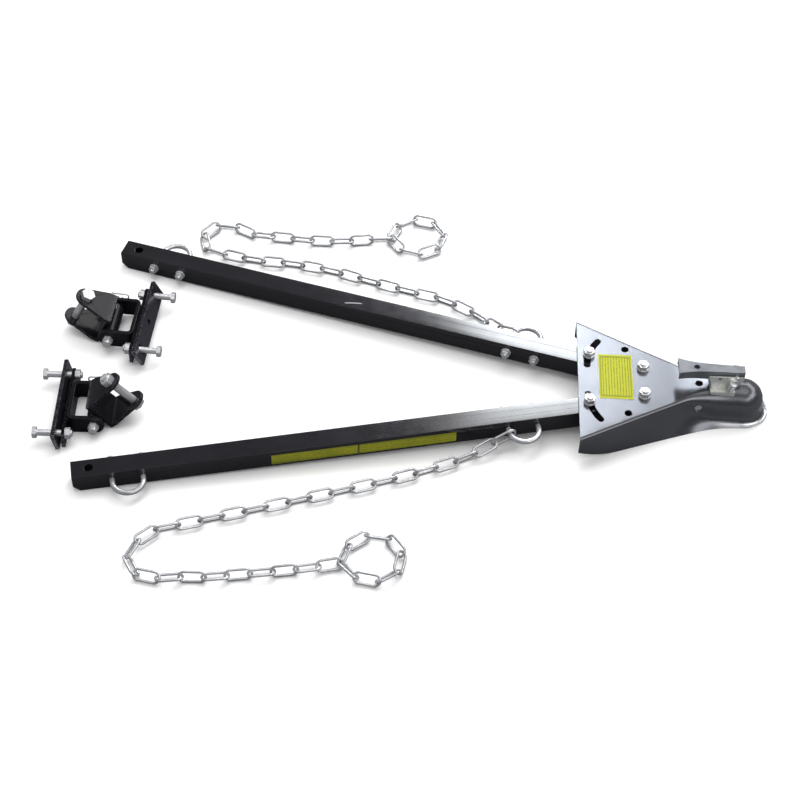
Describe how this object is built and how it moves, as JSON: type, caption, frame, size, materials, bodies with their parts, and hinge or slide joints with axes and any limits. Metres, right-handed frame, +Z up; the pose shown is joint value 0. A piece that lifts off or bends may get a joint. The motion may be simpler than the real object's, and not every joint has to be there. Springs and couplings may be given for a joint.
{
  "type": "adjustable tow bar",
  "caption": "Adjustable A-frame tow bar with a latched ball coupler, swinging square-tube arms, safety chains and clamp-on bumper brackets.",
  "frame": {"origin": "on the floor below the centre of the ball socket", "axes": "+X towards the coupler's nose, +Y to the far side, +Z up"},
  "size_m": [1.1279, 0.7885, 0.092],
  "materials": {
    "coupler_grey": "satin silver-grey coat",
    "label_yellow": "printed film",
    "label_olive": "printed film",
    "zinc": "bright zinc plate",
    "chain_zinc": "bright zinc plate",
    "latch_zinc": "yellow-green zinc plate",
    "lever_steel": "grey pressed steel",
    "pin_steel": "plain steel",
    "tube_black": "gloss black powder coat",
    "bracket_black": "gloss black powder coat",
    "jaw_black": "gloss black coat, teeth bare"
  },
  "bodies": {
    "coupler": {"coupler_shell": "coupler_grey", "coupler_label": "label_yellow", "pivot_bolts": "zinc", "pivot_washers": "zinc", "pivot_nuts": "zinc", "latch_bracket": "latch_zinc", "latch_pin": "zinc", "latch_stud": "zinc", "latch_spring": "zinc", "clamp_bolt": "zinc", "clamp_pin": "pin_steel"},
    "latch_lever": {"latch_lever": "lever_steel"},
    "ball_clamp": {"ball_clamp": "pin_steel"},
    "far_arm": {"far_arm_tube": "tube_black", "far_slot_bolt": "zinc", "far_slot_washer": "zinc", "far_slot_nut": "zinc", "far_u_bolts": "zinc", "far_u_bolt_washers": "zinc", "far_u_bolt_nuts": "zinc"},
    "far_chain_1": {"far_chain_1": "chain_zinc"},
    "far_chain_2": {"far_chain_2": "chain_zinc"},
    "far_chain_3": {"far_chain_3": "chain_zinc"},
    "far_chain_4": {"far_chain_4": "chain_zinc"},
    "far_chain_loop": {"far_chain_loop": "chain_zinc"},
    "far_bracket": {"far_clevis": "bracket_black", "far_clamp_plate": "bracket_black", "far_jaw": "jaw_black", "far_clamp_bolts": "zinc", "far_clamp_nuts": "zinc", "far_pivot_pin": "zinc", "far_pin_nut": "zinc", "far_pin_clip": "pin_steel"},
    "far_yoke": {"far_yoke": "bracket_black", "far_yoke_bolt": "zinc", "far_yoke_nut": "zinc"},
    "near_arm": {"near_arm_tube": "tube_black", "near_slot_bolt": "zinc", "near_slot_washer": "zinc", "near_slot_nut": "zinc", "near_u_bolts": "zinc", "near_u_bolt_washers": "zinc", "near_u_bolt_nuts": "zinc", "near_arm_label": "label_olive"},
    "near_chain_1": {"near_chain_1": "chain_zinc"},
    "near_chain_2": {"near_chain_2": "chain_zinc"},
    "near_chain_3": {"near_chain_3": "chain_zinc"},
    "near_chain_4": {"near_chain_4": "chain_zinc"},
    "near_chain_loop": {"near_chain_loop": "chain_zinc"},
    "near_bracket": {"near_clevis": "bracket_black", "near_clamp_plate": "bracket_black", "near_jaw": "jaw_black", "near_clamp_bolts": "zinc", "near_clamp_nuts": "zinc", "near_pivot_pin": "zinc", "near_pin_nut": "zinc", "near_pin_clip": "pin_steel"},
    "near_yoke": {"near_yoke": "bracket_black", "near_yoke_bolt": "zinc", "near_yoke_nut": "zinc"}
  },
  "joints": [
    {"name": "latch_lever_hinge", "type": "hinge", "parent": "coupler", "child": "latch_lever", "pos_m": [-0.018, 0, 0.08], "axis": [0, 1, 0], "range_deg": [0, 80]},
    {"name": "ball_clamp_hinge", "type": "hinge", "parent": "coupler", "child": "ball_clamp", "pos_m": [-0.0726, 0, 0.032], "axis": [0, 1, 0], "range_deg": [0, 8]},
    {"name": "far_arm_hinge", "type": "hinge", "parent": "coupler", "child": "far_arm", "pos_m": [-0.157, 0.0285, 0.0327], "axis": [0, 0, -1], "range_deg": [0, 17.5]},
    {"name": "near_arm_hinge", "type": "hinge", "parent": "coupler", "child": "near_arm", "pos_m": [-0.157, -0.0285, 0.0327], "axis": [0, 0, 1], "range_deg": [0, 22]},
    {"name": "far_chain_1_hinge", "type": "hinge", "parent": "far_arm", "child": "far_chain_1", "pos_m": [-0.3549, 0.115, 0.031], "axis": [0, 0, -1], "range_deg": [0, 8]},
    {"name": "far_chain_2_hinge", "type": "hinge", "parent": "far_chain_1", "child": "far_chain_2", "pos_m": [-0.57637, 0.23245, 0.0099], "axis": [0, 0, -1], "range_deg": [0, 8]},
    {"name": "far_chain_3_hinge", "type": "hinge", "parent": "far_chain_2", "child": "far_chain_3", "pos_m": [-0.83381, 0.28606, 0.0099], "axis": [0, 0, 1], "range_deg": [0, 8]},
    {"name": "far_chain_4_hinge", "type": "hinge", "parent": "far_chain_3", "child": "far_chain_4", "pos_m": [-0.79058, 0.33651, 0.0099], "axis": [0, 0, 1], "range_deg": [0, 8]},
    {"name": "far_chain_loop_hinge", "type": "hinge", "parent": "far_chain_4", "child": "far_chain_loop", "pos_m": [-0.56089, 0.3412, 0.0099], "axis": [0, 0, 1], "range_deg": [0, 4]},
    {"name": "near_chain_1_hinge", "type": "hinge", "parent": "near_arm", "child": "near_chain_1", "pos_m": [-0.3613, -0.0991, 0.031], "axis": [0, 0, 1], "range_deg": [0, 8]},
    {"name": "near_chain_2_hinge", "type": "hinge", "parent": "near_chain_1", "child": "near_chain_2", "pos_m": [-0.62664, -0.21322, 0.0099], "axis": [0, 0, 1], "range_deg": [0, 8]},
    {"name": "near_chain_3_hinge", "type": "hinge", "parent": "near_chain_2", "child": "near_chain_3", "pos_m": [-0.87743, -0.29568, 0.0099], "axis": [0, 0, -1], "range_deg": [0, 8]},
    {"name": "near_chain_4_hinge", "type": "hinge", "parent": "near_chain_3", "child": "near_chain_4", "pos_m": [-0.83159, -0.37916, 0.0099], "axis": [0, 0, -1], "range_deg": [0, 8]},
    {"name": "near_chain_loop_hinge", "type": "hinge", "parent": "near_chain_4", "child": "near_chain_loop", "pos_m": [-0.60402, -0.34223, 0.0099], "axis": [0, 0, -1], "range_deg": [0, 4]},
    {"name": "far_bracket_lift", "type": "slide", "parent": "coupler", "child": "far_bracket", "axis": [0, 0, 1], "range_m": [0, 0.12]},
    {"name": "near_bracket_lift", "type": "slide", "parent": "coupler", "child": "near_bracket", "axis": [0, 0, 1], "range_m": [0, 0.12]},
    {"name": "far_yoke_hinge", "type": "hinge", "parent": "far_bracket", "child": "far_yoke", "pos_m": [-0.995, 0.109, 0.0211], "axis": [0.0698, 0.9976, 0], "range_deg": [0, 60]},
    {"name": "near_yoke_hinge", "type": "hinge", "parent": "near_bracket", "child": "near_yoke", "pos_m": [-0.996, -0.069, 0.0162], "axis": [0.0175, -0.9998, 0], "range_deg": [0, 45]}
  ],
  "couplings": [
    {"joint": "ball_clamp_hinge", "follows": "latch_lever_hinge", "ratio": 0.1}
  ]
}
